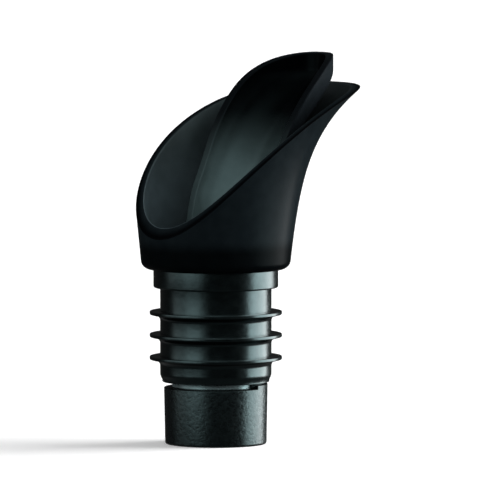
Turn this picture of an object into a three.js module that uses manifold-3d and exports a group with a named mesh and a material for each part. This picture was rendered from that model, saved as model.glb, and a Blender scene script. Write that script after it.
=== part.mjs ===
// Liquor pour spout: a rigid vented tube carrying a drip cup and a pouring scoop, in a rubber stopper.
//
// Millimetres, +Z up, and the liquid leaves towards +X. The lower end of the tube is at z = 0. The
// tube's own axis is vertical at x = AXIS_X, so that the origin is the bottom centre of the whole
// outline. Every shape below is built around the tube's axis, and one group carries them to AXIS_X.
//
//   core_tube       foot, fluted neck, bore, and the crescent vent at the back under the rubber
//   rubber_stopper  sleeve with three sealing fins and the flange that rests on the bottle's lip
//   outer_cup       flared drip cup with a floor, and the collar that covers the flange
//   inner_spout     pouring scoop on a ring, with a spigot that plugs into the top of the tube
import * as THREE from 'three';
import { mergeVertices } from 'three/addons/utils/BufferGeometryUtils.js';
import Module from 'manifold-3d';

const AXIS_X = -7.6;
const ROUND_SEGMENTS = 64;
const CUT_MARGIN = 1.0; // how far a cutting tool runs past the face that it cuts

// Core tube
const FOOT = { bottomRadius: 8.1, topRadius: 8.28, height: 9.1, edge: 0.4, bore: 7.0, boreDepth: 8.2 };
const NECK = { radius: 7.7, top: 30.8, bore: 5.5, socketRadius: 6.3, socketDepth: 6.2 };
const FLUTE = { count: 8, radius: 1.5, depth: 0.75, segments: 5 }; // drip and air grooves down the neck
const VENT = { height: 0.85, floorRadius: 6.9, halfAngle: THREE.MathUtils.degToRad(101), segments: 28 };
const VENT_LEDGE = 0.6; // height of the solid part in front that the vent leaves

// Rubber stopper
const STOPPER = { bore: 7.78, bottom: 9.97, radius: 8.9, corner: 0.8, lipRadius: 8.55, lipHeight: 0.3 };
const FIN = { count: 3, firstHeight: 13.62, pitch: 3.6, radius: 10.57, edge: 0.52, rise: 0.18, root: 1.1 };
const FLANGE = { underside: 25.04, top: 29.2, radius: 9.97, edge: 0.3 };

// Drip cup: front, back and half width grow with height above the collar's lower edge
const CUP = { bottom: 28.0, radius: 11.84, height: 28.35, wall: 1.43, corner: 1.3, floorThickness: 1.5 };
const CUP_FRONT = { lean: 5.9, lip: 9.74, lipPower: 4.6 };
const CUP_SIDES = { lean: -0.5, curve: 4.34 };
const CUP_BACK = { lean: 5.63, curve: -3.0 };
const CUP_LEVELS = [5, 8, 11, 14, 17, 19.5, 21.5, 23.5, 25.2, 26.6, 27.8, 28.9]; // closest where it flares
const CUP_RIM = { radius: 51.4, x: 30.2, z: 5.3, length: 60, segments: 96 }; // the cylinder that cuts the rim
const CUP_HOLE_RADIUS = 7.8;
const COLLAR_BORE = 10.3;
const FLANGE_CLEARANCE = 0.1; // between the flange and the floor above it

// Pouring scoop: a round base that lengthens into a straight-sided channel with a tapered nose
const SCOOP = { baseRadius: 6.9, wall: 1.4, halfWidth: 9.2, nosePower: 1.7, straightShare: 0.616 };
const SCOOP_SIDES = { start: 30.2, end: 41.6 }; // heights between which the sides spread
const SCOOP_TAPER = { start: 33.6, end: 49.6 }; // heights between which the nose turns from round to tapered
const SCOOP_FRONT = { reach: 24.33, startPull: [9.2, 48.5], endPull: 54.5, end: 59.0, top: 63.2 };
const SCOOP_RIM = { low: [0.05, 33.5], bend: [6.68, 48.0], pull: [13.39, 60.95], tip: [24.33, 61.65] };
const SPIGOT = { radius: 6.25, length: 6.0 };
const SEAT_GAP = 0.05; // between the scoop's ring and the end of the tube
const SCOOP_LEVELS = 14;
const SCOOP_SEGMENTS = 48;

const wasm = await Module();
wasm.setup();

function toSolid(geometry) {
  const bare = geometry.index ? geometry.toNonIndexed() : geometry.clone();
  bare.deleteAttribute('normal');
  bare.deleteAttribute('uv');
  const merged = mergeVertices(bare, 1e-5);
  const corners = merged.index.array;
  const triangles = [];
  for (let i = 0; i < corners.length; i += 3) {
    const [a, b, c] = [corners[i], corners[i + 1], corners[i + 2]];
    if (a !== b && b !== c && c !== a) {
      triangles.push(a, b, c);
    }
  }
  return new wasm.Manifold(new wasm.Mesh({
    numProp: 3,
    vertProperties: new Float32Array(merged.attributes.position.array),
    triVerts: new Uint32Array(triangles),
  }));
}

function toGeometry(solid) {
  const mesh = solid.getMesh();
  const geometry = new THREE.BufferGeometry();
  geometry.setAttribute('position', new THREE.BufferAttribute(mesh.vertProperties, 3));
  geometry.setIndex(new THREE.BufferAttribute(mesh.triVerts, 1));
  geometry.computeVertexNormals();
  return geometry;
}

// A closed profile of [radius, height] points turned about the Z axis.
function turned(points, segments = ROUND_SEGMENTS) {
  const profile = points.map(([radius, height]) => new THREE.Vector2(radius, height));
  profile.push(profile[0].clone());
  const geometry = new THREE.LatheGeometry(profile, segments);
  geometry.rotateX(Math.PI / 2);
  return toSolid(geometry);
}

function rod(radius, bottom, top) {
  return turned([[0, bottom], [radius, bottom], [radius, top], [0, top]]);
}

// Points on a quarter round or any other arc in a [radius, height] profile.
function arc(centreRadius, centreHeight, size, fromDegrees, toDegrees, steps) {
  const points = [];
  for (let i = 0; i <= steps; i += 1) {
    const angle = THREE.MathUtils.degToRad(fromDegrees + ((toDegrees - fromDegrees) * i) / steps);
    points.push([centreRadius + size * Math.cos(angle), centreHeight + size * Math.sin(angle)]);
  }
  return points;
}

// A closed solid whose outline at each level is outline(level, angle), a [x, y, z] point. It is a
// turned cylinder whose rings are moved onto the outlines, with a flat end at both ends.
function lofted(levels, outline, segments) {
  const last = levels.length - 1;
  const profile = [new THREE.Vector2(0, 0)];
  levels.forEach((_, row) => profile.push(new THREE.Vector2(1, row)));
  profile.push(new THREE.Vector2(0, last));
  const geometry = new THREE.LatheGeometry(profile, segments);
  const position = geometry.attributes.position;
  for (let i = 0; i < position.count; i += 1) {
    const [side, row, front] = [position.getX(i), Math.round(position.getY(i)), position.getZ(i)];
    const onAxis = Math.hypot(side, front) < 0.5;
    const step = Math.round((Math.atan2(side, front) / (2 * Math.PI)) * segments);
    const angle = (step / segments) * 2 * Math.PI;
    const [x, y, z] = outline(levels[row], angle);
    position.setXYZ(i, onAxis ? 0 : x, onAxis ? 0 : y, z);
  }
  return toSolid(geometry);
}

function extruded(shape, depth, curveSegments) {
  return new THREE.ExtrudeGeometry(shape, { depth, curveSegments, bevelEnabled: false });
}

// A flat shape in the X-Z plane, pushed out evenly to both sides of the plane y = 0.
function acrossY(shape, halfWidth, curveSegments) {
  const geometry = extruded(shape, 2 * halfWidth, curveSegments);
  geometry.rotateX(Math.PI / 2);
  geometry.translate(0, halfWidth, 0);
  return toSolid(geometry);
}

function footProfile() {
  const { bottomRadius, topRadius, height, edge } = FOOT;
  return [[0, 0], ...arc(bottomRadius - edge, edge, edge, -90, 0, 3), [topRadius, height], [0, height]];
}

// The neck's outline: a circle with round flutes let into it.
function flutedShape() {
  const centreRadius = NECK.radius - FLUTE.depth + FLUTE.radius;
  const squares = NECK.radius ** 2 + centreRadius ** 2 - FLUTE.radius ** 2;
  const halfMouth = Math.acos(squares / (2 * NECK.radius * centreRadius));
  const turn = Math.asin((NECK.radius * Math.sin(halfMouth)) / FLUTE.radius);
  const pitch = (2 * Math.PI) / FLUTE.count;
  const shape = new THREE.Shape();
  for (let i = 0; i < FLUTE.count; i += 1) {
    const middle = i * pitch;
    const flute = [centreRadius * Math.cos(middle), centreRadius * Math.sin(middle)];
    shape.absarc(...flute, FLUTE.radius, middle + Math.PI + turn, middle + Math.PI - turn, true);
    shape.absarc(0, 0, NECK.radius, middle + halfMouth, middle + pitch - halfMouth, false);
  }
  return shape;
}

// The crescent vent: a ring sector that opens the flutes to the outside behind the tube.
function ventCutter() {
  const [from, to] = [Math.PI - VENT.halfAngle, Math.PI + VENT.halfAngle];
  const outer = FOOT.topRadius + CUT_MARGIN;
  const shape = new THREE.Shape();
  shape.absarc(0, 0, outer, from, to, false);
  shape.absarc(0, 0, VENT.floorRadius, to, from, true);
  const geometry = extruded(shape, VENT.height, VENT.segments);
  geometry.translate(0, 0, FOOT.height);
  return toSolid(geometry);
}

function coreTube() {
  const neck = extruded(flutedShape(), NECK.top - FOOT.height + CUT_MARGIN, FLUTE.segments);
  neck.translate(0, 0, FOOT.height - CUT_MARGIN);
  const ledge = rod(FOOT.topRadius, FOOT.height - CUT_MARGIN, FOOT.height + VENT_LEDGE);
  const throatHeight = FOOT.boreDepth + FOOT.bore - NECK.bore;
  const throat = turned([
    [0, -CUT_MARGIN], [FOOT.bore, -CUT_MARGIN], [FOOT.bore, FOOT.boreDepth],
    [NECK.bore, throatHeight], [0, throatHeight],
  ]);
  return turned(footProfile())
    .add(toSolid(neck))
    .add(ledge)
    .subtract(ventCutter())
    .subtract(throat)
    .subtract(rod(NECK.bore, CUT_MARGIN, NECK.top + CUT_MARGIN))
    .subtract(rod(NECK.socketRadius, NECK.top - NECK.socketDepth, NECK.top + CUT_MARGIN));
}

// One sealing fin: a fillet under it, a thin edge, and a top that dips slightly towards the sleeve.
function finProfile(height) {
  const { radius, edge, rise, root } = FIN;
  const fillet = root - edge / 2;
  return [
    ...arc(STOPPER.radius + fillet, height - root, fillet, 180, 90, 3),
    [radius, height + rise - edge / 2],
    [radius - edge / 2, height + rise + edge / 2],
    [STOPPER.radius, height + edge / 2],
  ];
}

function rubberStopper() {
  const profile = [
    [STOPPER.bore, STOPPER.bottom],
    [STOPPER.lipRadius, STOPPER.bottom],
    [STOPPER.lipRadius, STOPPER.bottom + STOPPER.lipHeight],
    [STOPPER.radius, STOPPER.bottom + STOPPER.lipHeight + STOPPER.corner],
  ];
  for (let i = 0; i < FIN.count; i += 1) {
    profile.push(...finProfile(FIN.firstHeight + i * FIN.pitch));
  }
  profile.push([STOPPER.radius, FLANGE.underside]);
  profile.push([FLANGE.radius - FLANGE.edge, FLANGE.underside]);
  profile.push([FLANGE.radius, FLANGE.underside + FLANGE.edge]);
  profile.push([FLANGE.radius, FLANGE.top]);
  profile.push([STOPPER.bore, FLANGE.top]);
  return turned(profile);
}

// The cup's outline at a height above the collar's lower edge, moved in by inset.
function cupOutline(rise, inset, angle) {
  const t = rise / CUP.height;
  const front = CUP.radius + CUP_FRONT.lean * t + CUP_FRONT.lip * t ** CUP_FRONT.lipPower - inset;
  const back = CUP.radius + CUP_BACK.lean * t + CUP_BACK.curve * t * t - inset;
  const halfWidth = CUP.radius + CUP_SIDES.lean * t + CUP_SIDES.curve * t * t - inset;
  const x = (front - back) / 2 + ((front + back) / 2) * Math.cos(angle);
  return [x, halfWidth * Math.sin(angle), CUP.bottom + rise];
}

function cupCorner(rise) {
  return rise < CUP.corner ? CUP.corner - Math.sqrt(CUP.corner ** 2 - (CUP.corner - rise) ** 2) : 0;
}

function outerCup() {
  const floor = FLANGE.top + FLANGE_CLEARANCE + CUP.floorThickness;
  const cornerLevels = [0, 0.1, 0.4, 1].map((share) => share * CUP.corner);
  const outside = lofted(
    [...cornerLevels, ...CUP_LEVELS],
    (rise, angle) => cupOutline(rise, cupCorner(rise), angle),
    ROUND_SEGMENTS,
  );
  const inside = lofted(
    [floor - CUP.bottom, ...CUP_LEVELS, CUP_LEVELS.at(-1) + CUT_MARGIN],
    (rise, angle) => cupOutline(rise, CUP.wall, angle),
    ROUND_SEGMENTS,
  );
  const { radius, length, segments } = CUP_RIM;
  const rimCylinder = new THREE.CylinderGeometry(radius, radius, length, segments);
  rimCylinder.translate(CUP_RIM.x, 0, CUP_RIM.z);
  return outside
    .intersect(toSolid(rimCylinder))
    .subtract(inside)
    .subtract(rod(CUP_HOLE_RADIUS, CUP.bottom, floor + CUT_MARGIN))
    .subtract(rod(COLLAR_BORE, CUP.bottom - CUT_MARGIN, floor - CUP.floorThickness));
}

// How far forward the scoop reaches at each level, as [reach, height] points of one smooth curve.
function scoopLevels(count) {
  const base = NECK.top + SEAT_GAP;
  const curve = new THREE.CubicBezierCurve(
    new THREE.Vector2(SCOOP.baseRadius, base),
    new THREE.Vector2(...SCOOP_FRONT.startPull),
    new THREE.Vector2(SCOOP_FRONT.reach, SCOOP_FRONT.endPull),
    new THREE.Vector2(SCOOP_FRONT.reach, SCOOP_FRONT.end),
  );
  const levels = curve.getPoints(count).map((point) => ({ reach: point.x, height: point.y }));
  return [...levels, { reach: SCOOP_FRONT.reach, height: SCOOP_FRONT.top }];
}

const ON_THE_SIDE = 1e-6; // a cosine below this is at, or behind, the widest point of the half round

// The scoop's outline: a half round at the back, straight sides, and a tapered nose.
function scoopOutline(level, inset, angle) {
  const spread = THREE.MathUtils.smoothstep(level.height, SCOOP_SIDES.start, SCOOP_SIDES.end);
  const halfWidth = THREE.MathUtils.lerp(SCOOP.baseRadius, SCOOP.halfWidth, spread) - inset;
  const noseStart = SCOOP.straightShare * (level.reach - SCOOP.baseRadius);
  const noseLength = level.reach - inset - noseStart;
  const [cosine, sine] = [Math.cos(angle), Math.sin(angle)];
  if (cosine < ON_THE_SIDE) {
    return [halfWidth * cosine, halfWidth * sine, level.height];
  }
  const taper = THREE.MathUtils.smoothstep(level.height, SCOOP_TAPER.start, SCOOP_TAPER.end);
  const roundness = THREE.MathUtils.lerp(1, 2 / SCOOP.nosePower, taper);
  const x = noseStart + noseLength * cosine ** roundness;
  return [x, halfWidth * Math.sign(sine) * Math.abs(sine) ** roundness, level.height];
}

function scoopRimCutter() {
  const farTop = SCOOP_FRONT.top + CUT_MARGIN;
  const slope = (SCOOP_RIM.tip[1] - SCOOP_RIM.pull[1]) / (SCOOP_RIM.tip[0] - SCOOP_RIM.pull[0]);
  const [behind, beyond] = [-SCOOP.halfWidth - CUT_MARGIN, SCOOP_RIM.tip[0] + CUT_MARGIN];
  const shape = new THREE.Shape();
  shape.moveTo(behind, SCOOP_RIM.low[1]);
  shape.lineTo(...SCOOP_RIM.low);
  shape.lineTo(...SCOOP_RIM.bend);
  shape.quadraticCurveTo(...SCOOP_RIM.pull, ...SCOOP_RIM.tip);
  shape.lineTo(beyond, SCOOP_RIM.tip[1] + slope * CUT_MARGIN);
  shape.lineTo(beyond, farTop);
  shape.lineTo(behind, farTop);
  return acrossY(shape, SCOOP.halfWidth + CUT_MARGIN, SCOOP_LEVELS);
}

function innerSpout() {
  const levels = scoopLevels(SCOOP_LEVELS);
  const base = levels[0].height;
  const above = { reach: SCOOP_FRONT.reach, height: SCOOP_FRONT.top + CUT_MARGIN };
  const outside = lofted(levels, (level, angle) => scoopOutline(level, 0, angle), SCOOP_SEGMENTS);
  const inside = lofted(
    [...levels, above],
    (level, angle) => scoopOutline(level, SCOOP.wall, angle),
    SCOOP_SEGMENTS,
  );
  return outside
    .add(rod(SPIGOT.radius, base - SPIGOT.length, base + CUT_MARGIN))
    .subtract(inside)
    .subtract(rod(NECK.bore, base - SPIGOT.length - CUT_MARGIN, base + CUT_MARGIN))
    .subtract(scoopRimCutter());
}

function piece(name, solid, material) {
  const mesh = new THREE.Mesh(toGeometry(solid), new THREE.MeshStandardMaterial(material));
  mesh.name = name;
  return mesh;
}

const gloss = { color: 0x0b0b0c, roughness: 0.22, metalness: 0 };
const satin = { color: 0x121213, roughness: 0.5, metalness: 0 };
const rubber = { color: 0x1a1a1b, roughness: 0.62, metalness: 0 };

const aroundAxis = new THREE.Group();
aroundAxis.position.x = AXIS_X;
aroundAxis.add(piece('core_tube', coreTube(), satin));
aroundAxis.add(piece('rubber_stopper', rubberStopper(), rubber));
aroundAxis.add(piece('outer_cup', outerCup(), gloss));
aroundAxis.add(piece('inner_spout', innerSpout(), gloss));

const spout = new THREE.Group();
spout.add(aroundAxis);

export default spout;
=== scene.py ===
"""Looks of the liquor pour spout: fine meshes over the four CAD nodes, their materials, a studio.

Shapes are worked out in millimetres about the tube's own axis, as the CAD part is, and turned
into metres in the frame by welded(). +X is the way the liquid leaves and +Z is up.
"""
import math

import bmesh
import bpy
import numpy as np
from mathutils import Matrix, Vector

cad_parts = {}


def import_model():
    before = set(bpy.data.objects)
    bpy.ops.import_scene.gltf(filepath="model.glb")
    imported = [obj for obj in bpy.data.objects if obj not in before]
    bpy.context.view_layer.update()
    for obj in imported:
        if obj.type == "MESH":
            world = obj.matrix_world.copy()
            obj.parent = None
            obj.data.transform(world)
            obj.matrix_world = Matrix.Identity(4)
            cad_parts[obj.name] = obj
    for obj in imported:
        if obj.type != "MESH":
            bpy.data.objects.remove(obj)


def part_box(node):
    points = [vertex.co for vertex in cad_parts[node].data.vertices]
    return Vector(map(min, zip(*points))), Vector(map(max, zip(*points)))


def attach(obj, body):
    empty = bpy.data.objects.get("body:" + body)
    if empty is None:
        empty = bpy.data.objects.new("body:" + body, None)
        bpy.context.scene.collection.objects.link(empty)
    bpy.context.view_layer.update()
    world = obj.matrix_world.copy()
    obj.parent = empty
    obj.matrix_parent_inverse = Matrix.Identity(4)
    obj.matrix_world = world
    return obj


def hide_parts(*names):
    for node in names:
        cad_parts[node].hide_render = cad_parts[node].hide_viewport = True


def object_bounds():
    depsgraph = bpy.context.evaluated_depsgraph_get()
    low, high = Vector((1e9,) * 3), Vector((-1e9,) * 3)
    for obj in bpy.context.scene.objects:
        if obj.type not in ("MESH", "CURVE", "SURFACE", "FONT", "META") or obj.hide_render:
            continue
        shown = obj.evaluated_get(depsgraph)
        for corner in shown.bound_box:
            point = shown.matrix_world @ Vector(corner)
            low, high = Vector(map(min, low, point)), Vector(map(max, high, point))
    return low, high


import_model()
cad_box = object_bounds()

MM = 0.001
STOPPER_LOW, STOPPER_HIGH = (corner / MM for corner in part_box("rubber_stopper"))
CUP_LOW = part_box("outer_cup")[0] / MM
TUBE_LOW, TUBE_HIGH = (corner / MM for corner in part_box("core_tube"))
AXIS_X = (STOPPER_LOW.x + STOPPER_HIGH.x) / 2

COLUMNS = 288  # points round each turned or lofted piece
SHARP_ANGLE = math.radians(32)
WELD = 2e-7  # points nearer than this, in metres, are joined
EDGE_STEPS = 7  # rows between an edge and the face beside it
ROUND_STEPS = 5  # steps across a rounded corner of a turned profile
EDGE_SHARE = 0.4  # of a face's width, the most that the rounding of one of its edges may take
TINY = 1e-9  # keeps a division or a comparison clear of zero

# Drip cup
CUP_BOTTOM = CUP_LOW.z
CUP_RADIUS = 11.84
CUP_HEIGHT = 28.35
CUP_WALL = 1.43
CUP_CORNER = 1.3
CUP_EDGE = 0.2
CUP_FRONT = {"lean": 5.9, "lip": 9.74, "power": 4.6}
CUP_SIDES = {"lean": -0.5, "curve": 4.34}
CUP_BACK = {"lean": 5.63, "curve": -3.0}
RIM_RADIUS = 51.4
RIM_CENTRE = (30.2, CUP_BOTTOM - 22.7)
FLOOR_TOP = TUBE_HIGH.z
FLOOR_THICKNESS = 1.5
FLOOR_FILLET = 0.9
FLOOR_HOLE = 7.8
FLOOR_HOLE_EDGE = 0.2
COLLAR_BORE = 10.3
COLLAR_EDGE = 0.12
CUP_CORNER_ROWS = 12
CUP_WALL_ROWS = 75
CUP_INSIDE_ROWS = 70
CUP_FILLET_ROWS = 8
CUP_FLOOR_ROWS = 5
RIM_SEARCH_STEPS = 50
RIM_SEARCH_SHARE = 1.1  # of the cup's height, how high the search for the rim goes

# Pouring scoop
SCOOP_BASE = FLOOR_TOP + 0.05
SCOOP_RADIUS = 6.9
SCOOP_HALF_WIDTH = 9.2
SCOOP_WALL = 1.4
SCOOP_EDGE = 0.22
SCOOP_REACH = 24.33
SCOOP_NOSE_POWER = 1.7
SCOOP_STRAIGHT_SHARE = 0.616
SCOOP_BLUNT_ANGLE = math.radians(38)  # within it the nose is rounded off
SCOOP_SIDES = (30.2, 41.6)
SCOOP_TAPER = (33.6, 49.6)
SCOOP_FRONT = [(SCOOP_RADIUS, SCOOP_BASE), (9.2, 48.5), (SCOOP_REACH, 54.5), (SCOOP_REACH, 59.0)]
SCOOP_BACK_RIM = 33.5
SCOOP_RIM_BEND = (6.68, 48.0)
SCOOP_RIM_PULL = (13.39, 60.95)
SCOOP_RIM_TIP = (24.33, 61.65)
SCOOP_RIM_FILLET = 1.4
SCOOP_RIM_START = 0.05
SCOOP_RIM_BEYOND = 2.0  # how far the rim's curve runs on past the tip
SCOOP_RIM_STEPS = {"level": 40, "fillet": 40, "climb": 120, "nose": 240, "beyond": 20}
SCOOP_FRONT_STEPS = 400
SCOOP_ROWS = 150
SCOOP_COLUMNS = 72
SCOOP_LOW_ROWS = 14
BACK_RIM_PASSES = 4  # each sets the back's rim nearer to where the rim's curve crosses the wall
# How much of the painted rim shade the rim's outer edge takes, and how much of the inside's painted
# light its face takes.
RIM_EDGE_SIDE = -0.4  # the finishes of the rim's outer edge and of its face, as in welded()
RIM_FACE_SIDE = 0.6
SPIGOT_RADIUS = 6.25
SPIGOT_LENGTH = 6.0
SPIGOT_EDGE = 0.2
BORE = 5.5

# Core tube
FOOT_BOTTOM_RADIUS = 8.1
FOOT_TOP_RADIUS = (TUBE_HIGH.x - TUBE_LOW.x) / 2
FOOT_HEIGHT = 9.1
FOOT_EDGE = 0.4
FOOT_SHOULDER = 0.2
FOOT_BORE = 7.0
FOOT_BORE_DEPTH = 8.2
NECK_RADIUS = 7.7
SOCKET_RADIUS = 6.3
SOCKET_DEPTH = 6.2
FLUTES = 8
FLUTE_RADIUS = 1.5
FLUTE_DEPTH = 0.75
VENT_HEIGHT = 0.85
VENT_FLOOR = 6.9
VENT_SLOPE = 0.16
VENT_HALF_ANGLE = math.radians(101)
VENT_COLUMNS = 3 * COLUMNS // 4
FRONT_COLUMNS = COLUMNS // 2
NECK_SHADE = 0.2  # how far up the neck's wall in the vent the dull finish of the ledge goes
FOOT_STEP = 0.6  # how much higher the foot is where there is no vent

# Rubber stopper
SLEEVE_BORE = 7.78
SLEEVE_RADIUS = 8.9
SLEEVE_CORNER = 0.8
SLEEVE_ROUND = 0.3
LIP_RADIUS = 8.55
LIP_HEIGHT = 0.3
LIP_ROUND = 0.08
FIN_RADIUS = (STOPPER_HIGH.x - STOPPER_LOW.x) / 2
FIN_HEIGHTS = [13.62 + 3.6 * number for number in range(3)]
FIN_EDGE = 0.52
FIN_FILLET_POINTS = 9
FIN_RISE = 0.18
FIN_ROOT = 1.1
FIN_ROUND = 0.13
FLANGE_UNDERSIDE = 25.04
FLANGE_RADIUS = 9.97
FLANGE_EDGE = 0.3
FLANGE_TOP_EDGE = 0.2
FLANGE_ROOT = 0.1


# ---------------------------------------------------------------- mesh helpers

def welded(name, patches, body, node, material, sides=None):
    """One closed, smooth-shaded piece from grids of points (rows, columns, 3) that share edges.

    sides says, for each row of each grid, which finish it has: -1 a rim's painted shade or a ledge's
    dull finish, 0 the outside's, 1 the inside's painted light and shade or the neck's painted light.
    """
    points, faces, side = [], [], []
    for number, grid in enumerate(patches):
        start = len(points)
        rows, columns = grid.shape[:2]
        points.extend(grid.reshape(-1, 3))
        of_rows = np.broadcast_to(0.0 if sides is None else sides[number], rows)
        side.extend(np.repeat(of_rows, columns))
        for row in range(rows - 1):
            for column in range(columns - 1):
                a = start + row * columns + column
                faces.append((a, a + 1, a + columns + 1, a + columns))
    places = (np.array(points) + np.array([AXIS_X, 0.0, 0.0])) * MM
    mesh = bpy.data.meshes.new(name)
    mesh.from_pydata(places.tolist(), [], faces)
    mesh.attributes.new("side", "FLOAT", "POINT").data.foreach_set("value", side)
    soft = bmesh.new()
    soft.from_mesh(mesh)
    bmesh.ops.remove_doubles(soft, verts=soft.verts, dist=WELD)
    bmesh.ops.dissolve_degenerate(soft, dist=WELD, edges=soft.edges)
    bmesh.ops.recalc_face_normals(soft, faces=soft.faces)
    soft.to_mesh(mesh)
    soft.free()
    mesh.shade_smooth()
    mesh.set_sharp_from_angle(angle=SHARP_ANGLE)
    piece = bpy.data.objects.new(name, mesh)
    bpy.context.scene.collection.objects.link(piece)
    piece.data.materials.append(material)
    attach(piece, body)
    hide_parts(node)
    return piece


def round_off(edge, corner, face):
    """Rows of points that turn smoothly from edge to face about the sharp corner between them."""
    rows = []
    for t in np.linspace(0, 1, EDGE_STEPS + 2)[1:-1]:
        rows.append(edge * (1 - t) ** 2 + corner * 2 * t * (1 - t) + face * t ** 2)
    return rows


def towards(start, end, distance):
    """Points that lie distance from start, on the way to end."""
    way = end - start
    length = np.linalg.norm(way, axis=-1, keepdims=True)
    return start + way * np.minimum(distance, EDGE_SHARE * length) / np.maximum(length, TINY)


def full_turn():
    return np.linspace(0, 2 * math.pi, COLUMNS + 1)


def ring(radius, height, turn):
    radius = np.broadcast_to(radius, turn.shape)
    return np.stack([radius * np.cos(turn), radius * np.sin(turn), np.full(turn.shape, height)], -1)


def turned_patch(profile, turn):
    """A [radius, height] profile turned about the axis, as one grid."""
    return np.stack([ring(radius, height, turn) for radius, height in profile])


def rounded_profile(corners):
    """A closed [radius, height] profile with rounded corners, given as (radius, height, round)."""
    profile = []
    count = len(corners)
    for number, (x, z, size) in enumerate(corners):
        here = np.array([x, z])
        if size == 0:
            profile.append(here)
            continue
        before = np.array(corners[number - 1][:2])
        after = np.array(corners[(number + 1) % count][:2])
        start = here + (before - here) * size / np.linalg.norm(before - here)
        end = here + (after - here) * size / np.linalg.norm(after - here)
        for t in np.linspace(0, 1, ROUND_STEPS + 1):
            profile.append(start * (1 - t) ** 2 + here * 2 * t * (1 - t) + end * t ** 2)
    profile.append(profile[0])
    return profile


def smooth(value, start, end):
    """Goes smoothly from 0 to 1 as value goes from start to end."""
    t = np.clip((value - start) / (end - start), 0, 1)
    return t * t * (3 - 2 * t)


# ---------------------------------------------------------------- drip cup

def cup_ring(rise, inset, turn):
    """The cup's outline at a rise above the collar's lower edge, moved in by inset."""
    rise = np.broadcast_to(rise, turn.shape)
    t = rise / CUP_HEIGHT
    front = CUP_RADIUS + CUP_FRONT["lean"] * t + CUP_FRONT["lip"] * t ** CUP_FRONT["power"] - inset
    back = CUP_RADIUS + CUP_BACK["lean"] * t + CUP_BACK["curve"] * t ** 2 - inset
    half_width = CUP_RADIUS + CUP_SIDES["lean"] * t + CUP_SIDES["curve"] * t ** 2 - inset
    x = (front - back) / 2 + (front + back) / 2 * np.cos(turn)
    return np.stack([x, half_width * np.sin(turn), CUP_BOTTOM + rise], -1)


def rim_rise(inset, turn):
    """How far the cup's wall rises in each direction before it meets the rim's cylinder."""
    low, high = np.zeros(turn.shape), np.full(turn.shape, CUP_HEIGHT * RIM_SEARCH_SHARE)
    for _ in range(RIM_SEARCH_STEPS):
        middle = (low + high) / 2
        points = cup_ring(middle, inset, turn)
        across = points[..., 0] - RIM_CENTRE[0]
        up = points[..., 2] - RIM_CENTRE[1]
        inside = across ** 2 + up ** 2 < RIM_RADIUS ** 2
        low = np.where(inside, middle, low)
        high = np.where(inside, high, middle)
    return low


def rim_sides(count, wall_top):
    """The side of each of the cup's rows: outside, then the rim, then inside."""
    number = np.arange(count)
    rim = smooth(number, wall_top - 1, wall_top + 1)
    inner = smooth(number, wall_top + EDGE_STEPS, wall_top + EDGE_STEPS + 2)
    # the rim rows take the painted rim shade, the inside rows the inside's painted light
    return inner * 2 - rim


def outer_cup_shell(material):
    turn = full_turn()
    outer_rim, inner_rim = rim_rise(0, turn), rim_rise(CUP_WALL, turn)
    floor = FLOOR_TOP - CUP_BOTTOM
    ceiling = FLOOR_TOP - FLOOR_THICKNESS
    rows = []
    for angle in np.linspace(0, math.pi / 2, CUP_CORNER_ROWS):
        rise = CUP_CORNER * (1 - math.cos(angle))
        rows.append(cup_ring(rise, CUP_CORNER * (1 - math.sin(angle)), turn))
    for share in np.linspace(0, 1, CUP_WALL_ROWS + 1)[1:]:
        rise = CUP_CORNER + (outer_rim - CUP_EDGE - CUP_CORNER) * share
        rows.append(cup_ring(rise, 0, turn))
    outer_corner = cup_ring(outer_rim, 0, turn)
    inner_corner = cup_ring(inner_rim, CUP_WALL, turn)
    outer_face = towards(outer_corner, inner_corner, CUP_EDGE)
    inner_face = towards(inner_corner, outer_corner, CUP_EDGE)
    inner_edge = cup_ring(inner_rim - CUP_EDGE, CUP_WALL, turn)
    wall_top = len(rows)
    rows += round_off(rows[-1], outer_corner, outer_face)
    rows += [outer_face, inner_face]
    rows += round_off(inner_face, inner_corner, inner_edge)
    for share in np.linspace(1, 0, CUP_INSIDE_ROWS + 1):
        rise = floor + FLOOR_FILLET + (inner_rim - CUP_EDGE - floor - FLOOR_FILLET) * share
        rows.append(cup_ring(rise, CUP_WALL, turn))
    for angle in np.linspace(0, math.pi / 2, CUP_FILLET_ROWS + 1)[1:]:
        rise = floor + FLOOR_FILLET * (1 - math.sin(angle))
        rows.append(cup_ring(rise, CUP_WALL + FLOOR_FILLET * (1 - math.cos(angle)), turn))
    floor_edge = rows[-1]
    hole_edge = ring(FLOOR_HOLE + FLOOR_HOLE_EDGE, FLOOR_TOP, turn)
    for share in np.linspace(0, 1, CUP_FLOOR_ROWS + 1)[1:]:
        rows.append(floor_edge + (hole_edge - floor_edge) * share)
    rows.append(ring(FLOOR_HOLE, FLOOR_TOP - FLOOR_HOLE_EDGE, turn))
    rows.append(ring(FLOOR_HOLE, ceiling, turn))
    rows.append(ring(COLLAR_BORE, ceiling, turn))
    rows.append(ring(COLLAR_BORE, CUP_BOTTOM + COLLAR_EDGE, turn))
    rows.append(ring(COLLAR_BORE + COLLAR_EDGE, CUP_BOTTOM, turn))
    rows.append(rows[0])
    sides = rim_sides(len(rows), wall_top)
    shell = [np.stack(rows)]
    return welded("outer_cup_shell", shell, "head", "outer_cup", material, [sides])


# ---------------------------------------------------------------- pouring scoop

def bezier(points, count):
    """count points along the curve with three or four control points."""
    t = np.linspace(0, 1, count)[:, None]
    shares = {
        3: [(1 - t) ** 2, 2 * t * (1 - t), t ** 2],
        4: [(1 - t) ** 3, 3 * t * (1 - t) ** 2, 3 * t ** 2 * (1 - t), t ** 3],
    }[len(points)]
    return sum(share * np.array(point) for share, point in zip(shares, points))


FRONT_CURVE = bezier(SCOOP_FRONT, SCOOP_FRONT_STEPS)


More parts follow.
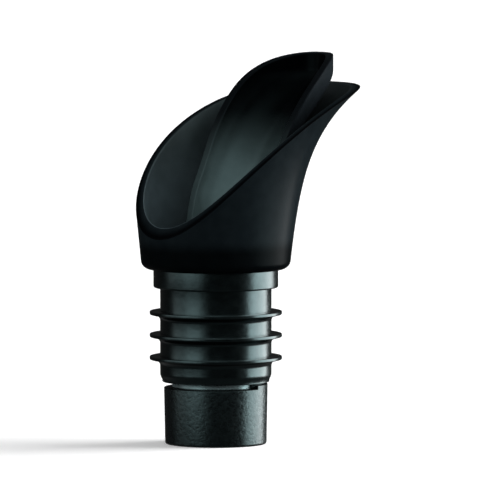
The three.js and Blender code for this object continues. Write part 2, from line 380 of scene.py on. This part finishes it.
def scoop_sizes(height, inset):
    """(where the nose starts, its length, the half width, how pointed it is) at each height."""
    reach = np.interp(height, FRONT_CURVE[:, 1], FRONT_CURVE[:, 0])
    widening = (SCOOP_HALF_WIDTH - SCOOP_RADIUS) * smooth(height, *SCOOP_SIDES)
    half_width = SCOOP_RADIUS + widening - inset
    nose_start = SCOOP_STRAIGHT_SHARE * (reach - SCOOP_RADIUS)
    taper = 1 + (2 / SCOOP_NOSE_POWER - 1) * smooth(height, *SCOOP_TAPER)
    return nose_start, reach - inset - nose_start, half_width, taper


def scoop_point(height, inset, turn):
    """A point of the scoop's wall: a half round behind, and a nose that tapers in front."""
    height, turn = np.broadcast_arrays(height, turn)
    nose_start, nose_length, half_width, taper = scoop_sizes(height, inset)
    cosine, sine = np.cos(turn), np.sin(turn)
    front_x = nose_start + nose_length * np.abs(cosine) ** taper
    blunted = 1 + (taper - 1) * smooth(np.abs(turn), 0, SCOOP_BLUNT_ANGLE)
    front_y = half_width * np.sign(sine) * np.abs(sine) ** blunted
    in_front = cosine > TINY
    x = np.where(in_front, front_x, nose_start + half_width * cosine)
    y = np.where(in_front, front_y, half_width * sine)
    return np.stack([x, y, height], -1)


def rim_curve():
    """The scoop's rim from the side: level behind, a fillet, a straight climb, a curve to the tip."""
    slope = (SCOOP_RIM_BEND[1] - SCOOP_BACK_RIM) / (SCOOP_RIM_BEND[0] - SCOOP_RIM_START)
    corner = np.array([SCOOP_RIM_START, SCOOP_BACK_RIM])
    climb = np.array([1, slope]) / math.hypot(1, slope)
    fillet = [corner - [SCOOP_RIM_FILLET, 0], corner, corner + climb * SCOOP_RIM_FILLET]
    last = np.array(SCOOP_RIM_TIP) - np.array(SCOOP_RIM_PULL)
    beyond = np.array(SCOOP_RIM_TIP) + last / np.linalg.norm(last) * SCOOP_RIM_BEYOND
    steps = SCOOP_RIM_STEPS
    return np.concatenate([
        np.linspace([-SCOOP_HALF_WIDTH, SCOOP_BACK_RIM], fillet[0], steps["level"])[:-1],
        bezier(fillet, steps["fillet"])[:-1],
        np.linspace(fillet[2], SCOOP_RIM_BEND, steps["climb"])[:-1],
        bezier([SCOOP_RIM_BEND, SCOOP_RIM_PULL, SCOOP_RIM_TIP], steps["nose"])[:-1],
        np.linspace(SCOOP_RIM_TIP, beyond, steps["beyond"]),
    ])


def set_back(curve, distance):
    """The curve moved below and in front of itself by distance."""
    way = np.gradient(curve, axis=0)
    way /= np.linalg.norm(way, axis=1, keepdims=True)
    return curve + np.stack([way[:, 1], -way[:, 0]], -1) * distance


def rim_rows(curve, inset, count):
    """(heights, turns) of evenly spaced points where the rim curve crosses the wall, side to tip."""
    nose_start, nose_length, _, taper = scoop_sizes(curve[:, 1], inset)
    share = (curve[:, 0] - nose_start) / nose_length
    inside = (share > 0) & (share < 1)
    first = np.argmax(inside)
    last = first + np.argmax(~inside[first:])
    low = np.interp(0, share[first - 1:first + 1], [first - 1, first])
    high = np.interp(1, share[last - 1:last + 1], [last - 1, last])
    steps = np.arange(len(curve))
    length = np.concatenate([[0], np.cumsum(np.linalg.norm(np.diff(curve, axis=0), axis=1))])
    along = np.linspace(np.interp(low, steps, length), np.interp(high, steps, length), count)
    height = np.interp(along, length, curve[:, 1])
    x = np.interp(along, length, curve[:, 0])
    nose_start, nose_length, _, taper = scoop_sizes(height, inset)
    share = np.clip((x - nose_start) / nose_length, 0, 1)
    share[0], share[-1] = 0, 1
    return height, np.arccos(share ** (1 / taper))


def scoop_sheet(curve, inset, base):
    """One wall surface: full rings at the base, then open rows between the two side rims."""
    heights, widest = rim_rows(curve, inset, SCOOP_ROWS)
    spread = np.linspace(-1, 1, SCOOP_COLUMNS + 1)
    open_part = scoop_point(heights[:, None], inset, widest[:, None] * spread[None, :])
    open_part[-1] = open_part[-1, SCOOP_COLUMNS // 2]
    back_turn = np.linspace(math.pi / 2, 3 * math.pi / 2, SCOOP_COLUMNS + 1)
    level = np.full(back_turn.shape, heights[0])
    for _ in range(BACK_RIM_PASSES):
        back_x = scoop_point(level, inset, back_turn)[:, 0]
        level = np.interp(back_x, curve[:, 0], curve[:, 1])
    level[0], level[-1] = heights[0], heights[0]
    climb = np.linspace(0, 1, SCOOP_LOW_ROWS)[:, None]
    front_turn = math.pi / 2 * spread
    front_low = scoop_point(base + (heights[0] - base) * climb, inset, front_turn[None, :])
    front_low[-1] = open_part[0]
    back_low = scoop_point(base + (level[None, :] - base) * climb, inset, back_turn[None, :])
    return {"open": open_part, "front": front_low, "back": back_low}


def rim_strip(outer, inner, outer_corner, inner_corner):
    """The rim's rounded face between two edges, each a line of points."""
    outer_face = towards(outer_corner, inner_corner, SCOOP_EDGE)
    inner_face = towards(inner_corner, outer_corner, SCOOP_EDGE)
    rows = [outer, *round_off(outer, outer_corner, outer_face), outer_face, inner_face]
    rows += [*round_off(inner_face, inner_corner, inner), inner]
    return np.stack(rows)


def inner_spout_scoop(material):
    curve = rim_curve()
    edge_curve = set_back(curve, SCOOP_EDGE)
    outer = scoop_sheet(edge_curve, 0, SCOOP_BASE)
    inner = scoop_sheet(edge_curve, SCOOP_WALL, SCOOP_BASE)
    outer_corner = scoop_sheet(curve, 0, SCOOP_BASE)
    inner_corner = scoop_sheet(curve, SCOOP_WALL, SCOOP_BASE)
    sheets = [outer, inner, outer_corner, inner_corner]
    strips = [rim_strip(*(sheet["open"][:, side] for sheet in sheets)) for side in (0, -1)]
    strips.append(rim_strip(*(sheet["back"][-1] for sheet in sheets)))
    turn = np.concatenate([
        np.linspace(-math.pi / 2, math.pi / 2, outer["front"].shape[1])[:-1],
        np.linspace(math.pi / 2, 3 * math.pi / 2, outer["back"].shape[1]),
    ])
    low = SCOOP_BASE - SPIGOT_LENGTH
    plug = turned_patch([
        (SCOOP_RADIUS, SCOOP_BASE), (SPIGOT_RADIUS, SCOOP_BASE), (SPIGOT_RADIUS, low + SPIGOT_EDGE),
        (SPIGOT_RADIUS - SPIGOT_EDGE, low), (BORE, low), (BORE, SCOOP_BASE),
    ], turn)
    patches = [*outer.values(), *inner.values(), *strips, plug]
    # the scoop's rim strips: painted shade on the outer edge, part of the inside's painted light on
    # the face
    number = np.arange(len(strips[0]))
    across = np.where(number > EDGE_STEPS, RIM_FACE_SIDE, RIM_EDGE_SIDE)
    across[[0, -1]] = 0, 1
    sides = [0, 0, 0, 1, 1, 1, across, across, across, 0]
    return welded(
        "inner_spout_scoop", patches, "head", "inner_spout", material, sides,
    )


# ---------------------------------------------------------------- core tube

def neck_radius(turn):
    """The neck's radius in each direction, smaller in the flutes."""
    centre = NECK_RADIUS - FLUTE_DEPTH + FLUTE_RADIUS
    pitch = 2 * math.pi / FLUTES
    off = (turn + pitch / 2) % pitch - pitch / 2
    inside = FLUTE_RADIUS ** 2 - (centre * np.sin(off)) ** 2
    flute = centre * np.cos(off) - np.sqrt(np.maximum(inside, 0))
    return np.where(inside > 0, np.minimum(flute, NECK_RADIUS), NECK_RADIUS)


def tube_column(turn, vented):
    """One closed profile of the tube in the direction of turn, with or without the vent."""
    neck = float(neck_radius(np.array(turn)))
    shoulder = FOOT_HEIGHT if vented else FOOT_HEIGHT + FOOT_STEP
    root = VENT_FLOOR if vented else neck
    above = FOOT_HEIGHT + VENT_HEIGHT
    throat = FOOT_BORE_DEPTH + FOOT_BORE - BORE
    shade = NECK_SHADE / VENT_HEIGHT
    corners = [
        (FOOT_BOTTOM_RADIUS, 0, FOOT_EDGE), (FOOT_TOP_RADIUS, shoulder, FOOT_SHOULDER),
        (root + VENT_SLOPE, shoulder, 0),
        (root + VENT_SLOPE * (1 - shade), shoulder + (above - shoulder) * shade, 0),
        (root, above, 0), (neck, above, 0), (neck, TUBE_HIGH.z, 0),
        (SOCKET_RADIUS, TUBE_HIGH.z, 0), (SOCKET_RADIUS, TUBE_HIGH.z - SOCKET_DEPTH, 0),
        (BORE, TUBE_HIGH.z - SOCKET_DEPTH, 0), (BORE, throat, 0), (FOOT_BORE, FOOT_BORE_DEPTH, 0),
        (FOOT_BORE, 0, FOOT_EDGE),
    ]
    profile = rounded_profile(corners)
    return np.array([[r * math.cos(turn), r * math.sin(turn), z] for r, z in profile])


def tube_sides(grid):
    """1 for the tube's rows that form the neck's wall in the vent, -1 for the ledge below it."""
    radius = np.linalg.norm(grid[:, 0, :2], axis=1)
    height = grid[:, 0, 2]
    in_vent = (height > FOOT_HEIGHT + NECK_SHADE / 2) & (height < TUBE_HIGH.z - SOCKET_DEPTH)
    # the neck's wall in the vent, which gets the painted light
    neck = in_vent & (radius > SOCKET_RADIUS) & (radius < VENT_FLOOR + VENT_SLOPE)
    ledge = (np.abs(height - FOOT_HEIGHT) < FOOT_SHOULDER / 2) & (radius > VENT_FLOOR)
    return neck.astype(float) - ledge.astype(float)


def core_tube_body(material):
    back = np.linspace(math.pi - VENT_HALF_ANGLE, math.pi + VENT_HALF_ANGLE, VENT_COLUMNS)
    front = np.linspace(math.pi + VENT_HALF_ANGLE, 3 * math.pi - VENT_HALF_ANGLE, FRONT_COLUMNS)
    columns = [tube_column(turn, True) for turn in back]
    columns += [tube_column(turn, False) for turn in front]
    columns.append(columns[0])
    grid = np.stack(columns, axis=1)
    sides = [tube_sides(grid)]
    return welded("core_tube_body", [grid], "head", "core_tube", material, sides)


# ---------------------------------------------------------------- rubber stopper

def fin_corners(height):
    """A fin from below: fillet, thin outer edge, and a top that dips towards the sleeve."""
    fillet = FIN_ROOT - FIN_EDGE / 2
    centre = (SLEEVE_RADIUS + fillet, height - FIN_ROOT)
    points = []
    for angle in np.linspace(math.pi, math.pi / 2, FIN_FILLET_POINTS):
        out, up = fillet * math.cos(angle), fillet * math.sin(angle)
        points.append((centre[0] + out, centre[1] + up, 0))
    points.append((FIN_RADIUS, height + FIN_RISE - FIN_EDGE / 2, FIN_ROUND))
    points.append((FIN_RADIUS, height + FIN_RISE + FIN_EDGE / 2, FIN_ROUND))
    points.append((SLEEVE_RADIUS, height + FIN_EDGE / 2, FIN_ROUND))
    return points


def rubber_stopper_body(material):
    bottom, top = STOPPER_LOW.z, STOPPER_HIGH.z
    corners = [
        (SLEEVE_BORE, bottom, 0), (LIP_RADIUS, bottom, LIP_ROUND),
        (LIP_RADIUS, bottom + LIP_HEIGHT, 0),
        (SLEEVE_RADIUS, bottom + LIP_HEIGHT + SLEEVE_CORNER, SLEEVE_ROUND),
    ]
    for height in FIN_HEIGHTS:
        corners += fin_corners(height)
    corners += [
        (SLEEVE_RADIUS, FLANGE_UNDERSIDE, FLANGE_ROOT),
        (FLANGE_RADIUS, FLANGE_UNDERSIDE, FLANGE_EDGE),
        (FLANGE_RADIUS, top, FLANGE_TOP_EDGE), (SLEEVE_BORE, top, 0),
    ]
    grid = turned_patch(rounded_profile(corners), full_turn())
    return welded(
        "rubber_stopper_body", [grid], "stopper", "rubber_stopper", material,
    )


# ---------------------------------------------------------------- materials

class Nodes:
    """Short calls for building one node tree."""

    def __init__(self, tree):
        self.tree = tree

    def link(self, value, socket):
        if isinstance(value, bpy.types.NodeSocket):
            self.tree.links.new(value, socket)
        else:
            socket.default_value = value

    def add(self, kind, inputs, **settings):
        node = self.tree.nodes.new(kind)
        for key, value in settings.items():
            setattr(node, key, value)
        for key, value in inputs.items():
            self.link(value, node.inputs[key])
        return node

    def math(self, operation, first, second=0.0):
        return self.add("ShaderNodeMath", {0: first, 1: second}, operation=operation).outputs[0]

    def dot(self, vector, direction):
        inputs = {0: vector, 1: tuple(direction)}
        return self.add("ShaderNodeVectorMath", inputs, operation="DOT_PRODUCT").outputs["Value"]

    def noise(self, place, per_mm, detail=2.0, roughness=0.5):
        inputs = {"Vector": place, "Scale": per_mm / MM, "Detail": detail, "Roughness": roughness}
        return self.add("ShaderNodeTexNoise", inputs).outputs["Fac"]

    def ramp(self, value, start, end, low=0.0, high=1.0):
        """Goes smoothly from low to high as value goes from start to end."""
        inputs = {"Value": value, "From Min": start, "From Max": end, "To Min": low, "To Max": high}
        node = self.add("ShaderNodeMapRange", inputs, interpolation_type="SMOOTHSTEP")
        return node.outputs["Result"]

    def spread(self, noise, low=0.0, high=1.0):
        """Goes smoothly from low to high over the middle of a noise's range."""
        return self.ramp(noise, *NOISE_MIDDLE, low, high)

    def blend(self, share, first, second):
        """Goes from first to second, each a colour, number or socket, as share goes from 0 to 1."""
        node = self.add("ShaderNodeMix", {}, data_type="RGBA")
        self.link(share, node.inputs[0])
        for value, socket in ((first, node.inputs[6]), (second, node.inputs[7])):
            if isinstance(value, float):
                value = (value, value, value)
            self.link((*value, 1) if isinstance(value, tuple) else value, socket)
        return node.outputs[2]

    def bump(self, height, depth_mm, normal=None):
        """The surface's direction where it is raised by height times the depth."""
        depth = self.math("MULTIPLY", depth_mm, MM)
        node = self.add("ShaderNodeBump", {"Height": height, "Distance": depth})
        if normal is not None:
            self.link(normal, node.inputs["Normal"])
        return node.outputs["Normal"]

    def grain(self, place, size, normal=None, detail=2.0):
        """The surface's direction with a grain of (features to a millimetre, depth)."""
        per_mm, depth_mm = size
        return self.bump(self.noise(place, per_mm, detail=detail), depth_mm, normal)


def new_material(name):
    """A material, its nodes and the object's own coordinates."""
    material = bpy.data.materials.new(name)
    material.use_nodes = True
    nodes = Nodes(material.node_tree)
    return material, nodes, nodes.add("ShaderNodeTexCoord", {}).outputs["Object"]


def finish_material(material, nodes, **values):
    surface = material.node_tree.nodes["Principled BSDF"]
    for key, value in values.items():
        nodes.link(value, surface.inputs[key.replace("_", " ")])
    return material


COOL_SHEEN = (0.62, 0.97, 1.0, 1.0)
PLASTIC_IOR = 1.5
NOISE_MIDDLE = (0.3, 0.7)  # the part of a noise's range that spread() uses

# A finish: the darkest and lightest colour, the roughness and the sheen.
# Painted shade: a darker, duller copy of the moulding for the rims, where the rim bands read dark.
RIM_SHADE = [(0.0004, 0.0005, 0.0008), (0.0008, 0.0010, 0.0014), 0.40, 0.010]
CUP_OUTSIDE = [(0.0052, 0.0080, 0.0096), (0.0066, 0.0100, 0.0118), 0.28, 0.014]
# Painted shade: a darker, duller finish low on the cup's outside, where little light reaches under
# its widest part.
CUP_FOOT_SHADE = [(0.0012, 0.0018, 0.0022), (0.0016, 0.0024, 0.0028), 0.30, 0.010]
# Painted light: the cup's inner side is coloured lighter where light falls into it, fading towards
# the lip.
CUP_INSIDE_LIT = [(0.0400, 0.0570, 0.0640), (0.0470, 0.0670, 0.0750), 0.45, 0.20]
CUP_LIP = [(0.0060, 0.0090, 0.0100), (0.0080, 0.0115, 0.0130), 0.45, 0.20]
SCOOP_OUTSIDE = [(0.0068, 0.0092, 0.0110), (0.0084, 0.0112, 0.0134), 0.45, 0.004]
# Painted light: the scoop's throat is coloured light grey for the light reflected low in it, fading
# upwards.
SCOOP_THROAT_LIT = [(0.0490, 0.0760, 0.0780), (0.0560, 0.0860, 0.0880), 0.19, 0.28]
# Painted shade: near-black colour and almost no sheen high in the nose, where the inside reads dark.
SCOOP_NOSE_SHADE = [(0.0003, 0.0005, 0.0007), (0.0006, 0.0009, 0.0012), 0.19, 0.015]

# Heights between which one finish turns into another: the painted shade low on the cup into the
# outside's, and on the inner sides the painted light below into the finish above it, first the
# colours and then the roughness and sheen.
FOOT_SHADE_FADE = (31.0, 33.4)
CUP_FADES = [(36.0, 50.0), (36.0, 50.0)]
SCOOP_FADES = [(39.0, 53.0), (44.0, 57.0)]

# A grain: how many features there are to a millimetre, and how deep they are in millimetres.
MOULDING_WAVES = (0.12, 0.015)
MOULDING_GRAIN = (9.0, 0.0012)
SPARK_GRAIN = (6.0, 0.012)
RUBBER_GRAIN = (7.0, 0.006)

# Black moulding
FLOW_MARKS = 0.5  # to a millimetre
FLOW_ROUGHNESS = 0.04
SCRATCHES = 3.0  # to a millimetre, before they are stretched
SCRATCH_STRETCH = (6.0, 6.0, 0.5)
SCRATCH_LIMITS = (0.55, 0.8)
SCRATCH_ROUGHNESS = 0.03

# Spark-textured moulding
SPARK_PITS = 1.7  # to a millimetre
PIT_DEPTHS = (0.06, 0.01)  # on the foot and on the neck
SPARK_PATCHES = 0.4
SPARK_COLOURS = [(0.0012, 0.0015, 0.0017), (0.0022, 0.0028, 0.0030)]
SPARK_ROUGHNESS = (0.24, 0.34)
SPARK_SHEEN = 0.42
# Painted light: the neck's wall in the vent is coloured light grey for the bright line of light on
# it.
NECK_LIT_COLOUR = (0.10, 0.13, 0.135)
NECK_SHEEN = 1.0
LEDGE_SHEEN = 0.05

# Rubber
RUBBER_MOTTLE = (0.7, 0.03)
RUBBER_COLOURS = [(0.0004, 0.0005, 0.0006), (0.0008, 0.0010, 0.0011)]
RUBBER_ROUGHNESS = (0.22, 0.27)

# Paper
PAPER_FIBRES = 0.05
PAPER_COLOURS = [(0.895, 0.898, 0.902), (0.92, 0.922, 0.925)]
PAPER_ROUGHNESS = 0.9
PAPER_GLOW = 0.16


def black_moulding(name, outside, inside, inside_top, fades):
    """Black moulding with flow marks, slight waviness and fine scratches.

    outside and inside are the finishes of the piece's two sides, inside with painted light. With
    height the inner side's finish turns into inside_top, low down the outer side gets painted shade,
    and the rims get painted shade too.
    """
    material, n, place = new_material(name)
    side = n.add("ShaderNodeAttribute", {}, attribute_name="side").outputs["Fac"]
    height = n.math("DIVIDE", n.dot(place, (0, 0, 1)), MM)
    marks = n.spread(n.noise(place, FLOW_MARKS, detail=4.0))

    def mixed(number):
        fade = fades[0] if number < 2 else fades[1]
        # painted light on the inner side, fading with height into inside_top
        inner = n.blend(n.ramp(height, *fade), inside[number], inside_top[number])
        # painted shade low down on the outer side
        outer = n.blend(n.ramp(height, *FOOT_SHADE_FADE), CUP_FOOT_SHADE[number], outside[number])
        on_wall = n.blend(n.ramp(side, 0, 1), outer, inner)
        # painted shade on the rims, where side is -1
        return n.blend(n.ramp(side, 0, -1), on_wall, RIM_SHADE[number])

    mapping = n.add("ShaderNodeMapping", {"Vector": place, "Scale": SCRATCH_STRETCH})
    scratches = n.noise(mapping.outputs[0], SCRATCHES, detail=3.0)
    scratches = n.ramp(scratches, *SCRATCH_LIMITS, 0.0, SCRATCH_ROUGHNESS)
    wear = n.math("ADD", n.math("MULTIPLY", marks, FLOW_ROUGHNESS), scratches)
    normal = n.grain(place, MOULDING_WAVES, detail=1.0)
    normal = n.grain(place, MOULDING_GRAIN, normal)
    return finish_material(
        material, n, Normal=normal, IOR=PLASTIC_IOR, Specular_Tint=COOL_SHEEN,
        Base_Color=n.blend(marks, mixed(0), mixed(1)),
        Roughness=n.math("ADD", mixed(2), wear),
        Specular_IOR_Level=mixed(3),
    )


def textured_black():
    """Spark-textured black moulding: an irregular pebbled grain, painted light on the neck in the
    vent (a light grey colour) and a dull ledge.
    """
    material, n, place = new_material("spark_textured_moulding")
    side = n.add("ShaderNodeAttribute", {}, attribute_name="side").outputs["Fac"]
    neck = n.ramp(side, 0, 1)
    pits = n.noise(place, SPARK_PITS, detail=3.0, roughness=0.6)
    normal = n.bump(pits, n.ramp(neck, 0, 1, *PIT_DEPTHS))
    normal = n.grain(place, SPARK_GRAIN, normal)
    patches = n.spread(n.noise(place, SPARK_PATCHES))
    sheen = n.ramp(side, 0, 1, SPARK_SHEEN, NECK_SHEEN)
    loss = n.ramp(side, -1, 0, LEDGE_SHEEN - SPARK_SHEEN, 0.0)
    return finish_material(
        material, n, Normal=normal, IOR=PLASTIC_IOR, Specular_Tint=COOL_SHEEN,
        # painted light on the neck
        Base_Color=n.blend(neck, n.blend(patches, *SPARK_COLOURS), NECK_LIT_COLOUR),
        Roughness=n.spread(pits, *SPARK_ROUGHNESS),
        Specular_IOR_Level=n.math("ADD", loss, sheen),
    )


def dark_rubber():
    """Satin charcoal rubber: soft sheen, faint mottling, dust-fine grain."""
    material, n, place = new_material("satin_rubber")
    per_mm, depth_mm = RUBBER_MOTTLE
    mottle = n.noise(place, per_mm, detail=3.0)
    normal = n.grain(place, RUBBER_GRAIN, n.bump(mottle, depth_mm), detail=3.0)
    return finish_material(
        material, n, Normal=normal, IOR=PLASTIC_IOR, Specular_Tint=COOL_SHEEN,
        Base_Color=n.blend(n.spread(mottle), *RUBBER_COLOURS),
        Roughness=n.spread(mottle, *RUBBER_ROUGHNESS),
    )


def pale_paper():
    """White paper, lit a little from behind so that the shadow on it stays faint."""
    material, n, place = new_material("pale_paper")
    fibres = n.spread(n.noise(place, PAPER_FIBRES, detail=3.0))
    return finish_material(
        material, n, Roughness=PAPER_ROUGHNESS,
        Emission_Color=(1.0, 1.0, 1.0, 1.0), Emission_Strength=PAPER_GLOW,
        Base_Color=n.blend(fibres, *PAPER_COLOURS),
    )


# ---------------------------------------------------------------- studio

VIEW_AZIMUTH = math.radians(-44.1)
VIEW_ELEVATION = math.radians(4.5)
CAMERA_DISTANCE = 2.2
FRAME_HEIGHT = 0.080
SENSOR = 36.0
CLIP = (0.1, 20.0)
AIM_DROP = 0.25 * MM
TARGET = (cad_box[0] + cad_box[1]) / 2 - Vector((0, 0, AIM_DROP))
RIGHT = Vector((math.cos(VIEW_AZIMUTH), math.sin(VIEW_AZIMUTH), 0))
BACK = Vector((math.sin(VIEW_AZIMUTH), -math.cos(VIEW_AZIMUTH), 0))

BACKDROP_RADIUS = 2.8
BACKDROP_BEND = 0.6
BACKDROP_HEIGHT = 3.0
BACKDROP_BEND_ROWS = 12
BACKDROP_COLUMNS = 64
BACKDROP_GAP = 0.02 * MM  # under the tube's lower end

# Softboxes as seen from the spout, in degrees: turn is measured from the camera's side towards its
# right, rise is up from the floor. The strength is a radiance, with 1 as the white of the picture.
SOFTBOXES = [
    # (first turn, last turn, lowest rise, highest rise, softness, strength)
    (73, 130, -14, 54, 5, 7.8),
    (-98, -24, -6, 22, 10, 1.45),
    (-68, -29, -6, 22, 10, 2.7),
    (-85, 30, 22, 66, 5, 0.55),
    (-85, 14, 22, 50, 16, 1.8),
    (-30, 42, 12, 34, 6, 0.9),
    (140, 200, 55, 88, 10, 1.4),
    (-200, -140, 55, 88, 10, 1.4),
    (42, 76, 12, 60, 8, 0.3),
    (-175, 175, -85, -17, 4, 0.1),
]
DIM = 0.03  # the radiance between softboxes


def camera():
    data = bpy.data.cameras.new("camera")
    data.sensor_width = SENSOR
    data.lens = SENSOR * CAMERA_DISTANCE / FRAME_HEIGHT
    data.clip_start, data.clip_end = CLIP
    cam = bpy.data.objects.new("camera", data)
    bpy.context.scene.collection.objects.link(cam)
    way = BACK * math.cos(VIEW_ELEVATION) + Vector((0, 0, math.sin(VIEW_ELEVATION)))
    cam.location = TARGET + way * CAMERA_DISTANCE
    cam.rotation_mode = "QUATERNION"
    cam.rotation_quaternion = (-way).to_track_quat("-Z", "Y")
    bpy.context.scene.camera = cam


def backdrop():
    """A pale floor that curves up into a wall all round, so that no horizon shows."""
    flat, bend, around = BACKDROP_RADIUS - BACKDROP_BEND, BACKDROP_BEND, BACKDROP_COLUMNS
    profile = [(0.0, 0.0), (flat, 0.0)]
    for angle in np.linspace(0, math.pi / 2, BACKDROP_BEND_ROWS)[1:]:
        profile.append((flat + bend * math.sin(angle), bend * (1 - math.cos(angle))))
    profile.append((BACKDROP_RADIUS, BACKDROP_HEIGHT))
    points, faces = [], []
    for r, z in profile:
        for number in range(around):
            a = 2 * math.pi * number / around
            points.append((r * math.cos(a), r * math.sin(a), z - BACKDROP_GAP))
    for row in range(len(profile) - 1):
        for number in range(around):
            a, b = row * around + number, row * around + (number + 1) % around
            faces.append((a, b, b + around, a + around))
    mesh = bpy.data.meshes.new("pale_floor")
    mesh.from_pydata(points, [], faces)
    mesh.shade_smooth()
    floor = bpy.data.objects.new("pale_floor", mesh)
    bpy.context.scene.collection.objects.link(floor)
    floor.data.materials.append(pale_paper())
    floor.visible_glossy = False
    floor.visible_shadow = False
    floor.visible_diffuse = False


def softbox(n, turn, rise, box):
    """The strength of one softbox in the direction that is looked at."""
    first, last, low, high, soft, strength = box
    left = n.ramp(turn, first - soft, first + soft)
    right = n.ramp(turn, last + soft, last - soft)
    bottom = n.ramp(rise, low - soft / 2, low + soft / 2)
    top = n.ramp(rise, high + soft, high - soft)
    sides, ends = n.math("MULTIPLY", left, right), n.math("MULTIPLY", bottom, top)
    return n.math("MULTIPLY", n.math("MULTIPLY", sides, ends), strength)


def world():
    """Soft light from the softboxes, and plain white where the camera looks past everything."""
    dome = bpy.data.worlds.new("studio")
    dome.use_nodes = True
    n = Nodes(dome.node_tree)
    way = n.add("ShaderNodeTexCoord", {}).outputs["Generated"]
    to_degrees = 180 / math.pi
    turn = n.math("MULTIPLY", n.math("ARCTAN2", n.dot(way, RIGHT), n.dot(way, BACK)), to_degrees)
    rise = n.math("MULTIPLY", n.math("ARCSINE", n.dot(way, (0, 0, 1))), to_degrees)
    strength = DIM
    for box in SOFTBOXES:
        strength = n.math("MAXIMUM", softbox(n, turn, rise, box), strength)
    seen = n.add("ShaderNodeLightPath", {}).outputs["Is Camera Ray"]
    unseen = n.math("SUBTRACT", 1.0, seen)
    light = n.math("MAXIMUM", seen, n.math("MULTIPLY", unseen, strength))
    surface = dome.node_tree.nodes["Background"]
    n.link(light, surface.inputs["Strength"])
    surface.inputs["Color"].default_value = (1, 1, 1, 1)
    bpy.context.scene.world = dome


def studio():
    camera()
    backdrop()
    world()
    bpy.context.scene.view_settings.view_transform = "Standard"


outer_cup_shell(black_moulding("cup_moulding", CUP_OUTSIDE, CUP_INSIDE_LIT, CUP_LIP, CUP_FADES))
inner_spout_scoop(
    black_moulding("scoop_moulding", SCOOP_OUTSIDE, SCOOP_THROAT_LIT, SCOOP_NOSE_SHADE, SCOOP_FADES)
)
core_tube_body(textured_black())
rubber_stopper_body(dark_rubber())
studio()
